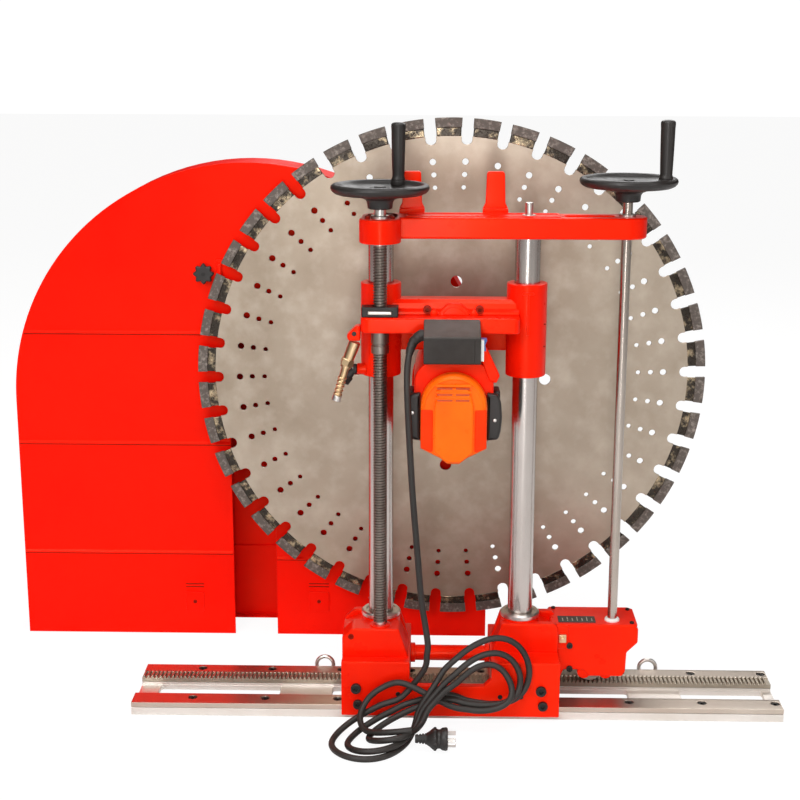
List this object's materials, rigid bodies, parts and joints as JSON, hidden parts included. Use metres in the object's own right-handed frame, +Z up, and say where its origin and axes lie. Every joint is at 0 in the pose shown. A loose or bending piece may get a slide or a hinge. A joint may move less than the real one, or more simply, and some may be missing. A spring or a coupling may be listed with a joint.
{
  "type": "wall saw",
  "caption": "Rail-guided electric wall saw: a carriage cranked along a toothed rail carries columns, a screw-fed motor head and a slotted diamond blade, with its guard behind.",
  "frame": {"origin": "on the floor, in the middle of the rail's underside", "axes": "+X along the rail to the right, +Y to the back towards the blade and its guard, +Z up"},
  "size_m": [1.184, 0.5444, 0.8623],
  "materials": {
    "red_paint": "gloss red paint",
    "deep_red_paint": "gloss deep red paint",
    "orange_plastic": "semi-gloss moulded plastic",
    "black_plastic": "satin moulded plastic",
    "chrome": "hard-chromed, polished",
    "steel": "machined",
    "screw_steel": "oiled screw steel",
    "blade_steel": "satin ground core with diamond segments",
    "aluminium": "extruded, satin",
    "brass": "turned",
    "rubber": "matt cable rubber"
  },
  "bodies": {
    "rail": {"rail_channel": "aluminium", "guide_bar_front": "steel", "guide_bar_rear": "steel", "rack": "steel", "rail_ring_left": "chrome", "rail_ring_right": "chrome", "guard_shell": "deep_red_paint", "guard_front_left": "red_paint", "guard_front_right": "red_paint", "guard_front_crown": "red_paint", "guard_latch": "red_paint"},
    "guard_knob": {"guard_knob": "black_plastic"},
    "carriage": {"front_plate": "red_paint", "tower_left": "red_paint", "tower_right": "red_paint", "cross_tube": "red_paint", "column_left": "chrome", "column_right": "chrome", "column_collar_left": "chrome", "column_collar_right": "chrome", "crosshead": "red_paint", "gearbox_housing": "red_paint", "gearbox_cover": "red_paint", "cord_drop": "rubber", "cord_hank": "rubber", "cord_tail": "rubber", "plug": "black_plastic"},
    "roller_front_left": {"roller_front_left": "steel"},
    "roller_rear_left": {"roller_rear_left": "steel"},
    "roller_front_right": {"roller_front_right": "steel"},
    "roller_rear_right": {"roller_rear_right": "steel"},
    "lift_screw": {"lead_screw": "screw_steel", "lift_handwheel": "black_plastic"},
    "lift_grip": {"lift_grip": "black_plastic"},
    "feed_shaft": {"feed_shaft": "steel", "feed_handwheel": "black_plastic"},
    "feed_grip": {"feed_grip": "black_plastic"},
    "worm_wheel": {"worm_wheel": "steel"},
    "rack_pinion": {"rack_pinion": "steel"},
    "head": {"head_casting": "red_paint", "nut_plate": "steel", "lead_nut": "screw_steel", "gear_housing": "deep_red_paint", "motor_housing": "red_paint", "motor_end_cap": "orange_plastic", "side_cover_left": "black_plastic", "side_cover_right": "black_plastic", "switch_box": "black_plastic", "cord_gland": "rubber", "water_arm": "red_paint", "hose_barb": "brass"},
    "switch_rocker": {"switch_rocker": "black_plastic"},
    "lock_lever": {"lock_lever": "black_plastic"},
    "rotor": {"rotor": "steel"},
    "spindle": {"spindle": "steel", "blade_flange_inner": "steel", "blade": "blade_steel", "blade_flange_outer": "steel"}
  },
  "joints": [
    {"name": "carriage_travel", "type": "slide", "parent": "rail", "child": "carriage", "axis": [1, 0, 0], "range_m": [-0.29, 0.2]},
    {"name": "head_feed", "type": "slide", "parent": "carriage", "child": "head", "axis": [0, 0, 1], "range_m": [-0.28, 0.045], "deforming": ["cord_drop"]},
    {"name": "lift_screw_turn", "type": "hinge", "parent": "carriage", "child": "lift_screw", "pos_m": [-0.112, -0.04, 0.7], "axis": [0, 0, 1], "range_deg": [-4055, 25205]},
    {"name": "lift_grip_turn", "type": "hinge", "parent": "lift_screw", "child": "lift_grip", "pos_m": [-0.08807, 0.00907, 0.8], "axis": [0, 0, 1], "continuous": true},
    {"name": "feed_shaft_turn", "type": "hinge", "parent": "carriage", "child": "feed_shaft", "pos_m": [0.231, 0, 0.7], "axis": [0, 0, 1], "range_deg": [-12313, 8494]},
    {"name": "feed_grip_turn", "type": "hinge", "parent": "feed_shaft", "child": "feed_grip", "pos_m": [0.2778, -0.02812, 0.8], "axis": [0, 0, 1], "continuous": true},
    {"name": "worm_wheel_turn", "type": "hinge", "parent": "carriage", "child": "worm_wheel", "pos_m": [0.203, 0, 0.085], "axis": [0, 1, 0], "range_deg": [-430, 621]},
    {"name": "rack_pinion_turn", "type": "hinge", "parent": "carriage", "child": "rack_pinion", "pos_m": [0.203, 0.031, 0.0403], "axis": [0, 1, 0], "range_deg": [-929, 642]},
    {"name": "roller_front_left_turn", "type": "hinge", "parent": "carriage", "child": "roller_front_left", "pos_m": [-0.143, -0.053, 0.0283], "axis": [0, 1, 0], "range_deg": [-2082, 1438]},
    {"name": "roller_rear_left_turn", "type": "hinge", "parent": "carriage", "child": "roller_rear_left", "pos_m": [-0.143, 0.054, 0.0283], "axis": [0, 1, 0], "range_deg": [-2082, 1438]},
    {"name": "roller_front_right_turn", "type": "hinge", "parent": "carriage", "child": "roller_front_right", "pos_m": [0.125, -0.053, 0.0283], "axis": [0, 1, 0], "range_deg": [-2082, 1438]},
    {"name": "roller_rear_right_turn", "type": "hinge", "parent": "carriage", "child": "roller_rear_right", "pos_m": [0.125, 0.054, 0.0283], "axis": [0, 1, 0], "range_deg": [-2082, 1438]},
    {"name": "blade_spin", "type": "hinge", "parent": "head", "child": "spindle", "pos_m": [-0.009, 0.15, 0.45], "axis": [0, 1, 0], "continuous": true},
    {"name": "rotor_spin", "type": "hinge", "parent": "head", "child": "rotor", "pos_m": [-0.009, 0, 0.48], "axis": [0, 1, 0], "continuous": true},
    {"name": "switch_rocker_tilt", "type": "hinge", "parent": "head", "child": "switch_rocker", "pos_m": [0.025, -0.0813, 0.562], "axis": [0, 1, 0], "range_deg": [-8, 8]},
    {"name": "lock_lever_turn", "type": "hinge", "parent": "head", "child": "lock_lever", "pos_m": [-0.1475, -0.015, 0.512], "axis": [1, 0, 0], "range_deg": [0, 90]},
    {"name": "guard_knob_turn", "type": "hinge", "parent": "rail", "child": "guard_knob", "pos_m": [-0.398, 0.236, 0.606], "axis": [0, 1, 0], "range_deg": [0, 720]}
  ],
  "couplings": [
    {"joint": "lift_screw_turn", "follows": "head_feed", "rad_per_m": -1570.8},
    {"joint": "feed_shaft_turn", "follows": "carriage_travel", "rad_per_m": 740.74},
    {"joint": "worm_wheel_turn", "follows": "carriage_travel", "rad_per_m": -37.037},
    {"joint": "rack_pinion_turn", "follows": "carriage_travel", "rad_per_m": 55.556},
    {"joint": "roller_front_left_turn", "follows": "carriage_travel", "rad_per_m": 125},
    {"joint": "roller_rear_left_turn", "follows": "carriage_travel", "rad_per_m": 125},
    {"joint": "roller_front_right_turn", "follows": "carriage_travel", "rad_per_m": 125},
    {"joint": "roller_rear_right_turn", "follows": "carriage_travel", "rad_per_m": 125},
    {"joint": "rotor_spin", "follows": "blade_spin", "ratio": -2.75}
  ]
}
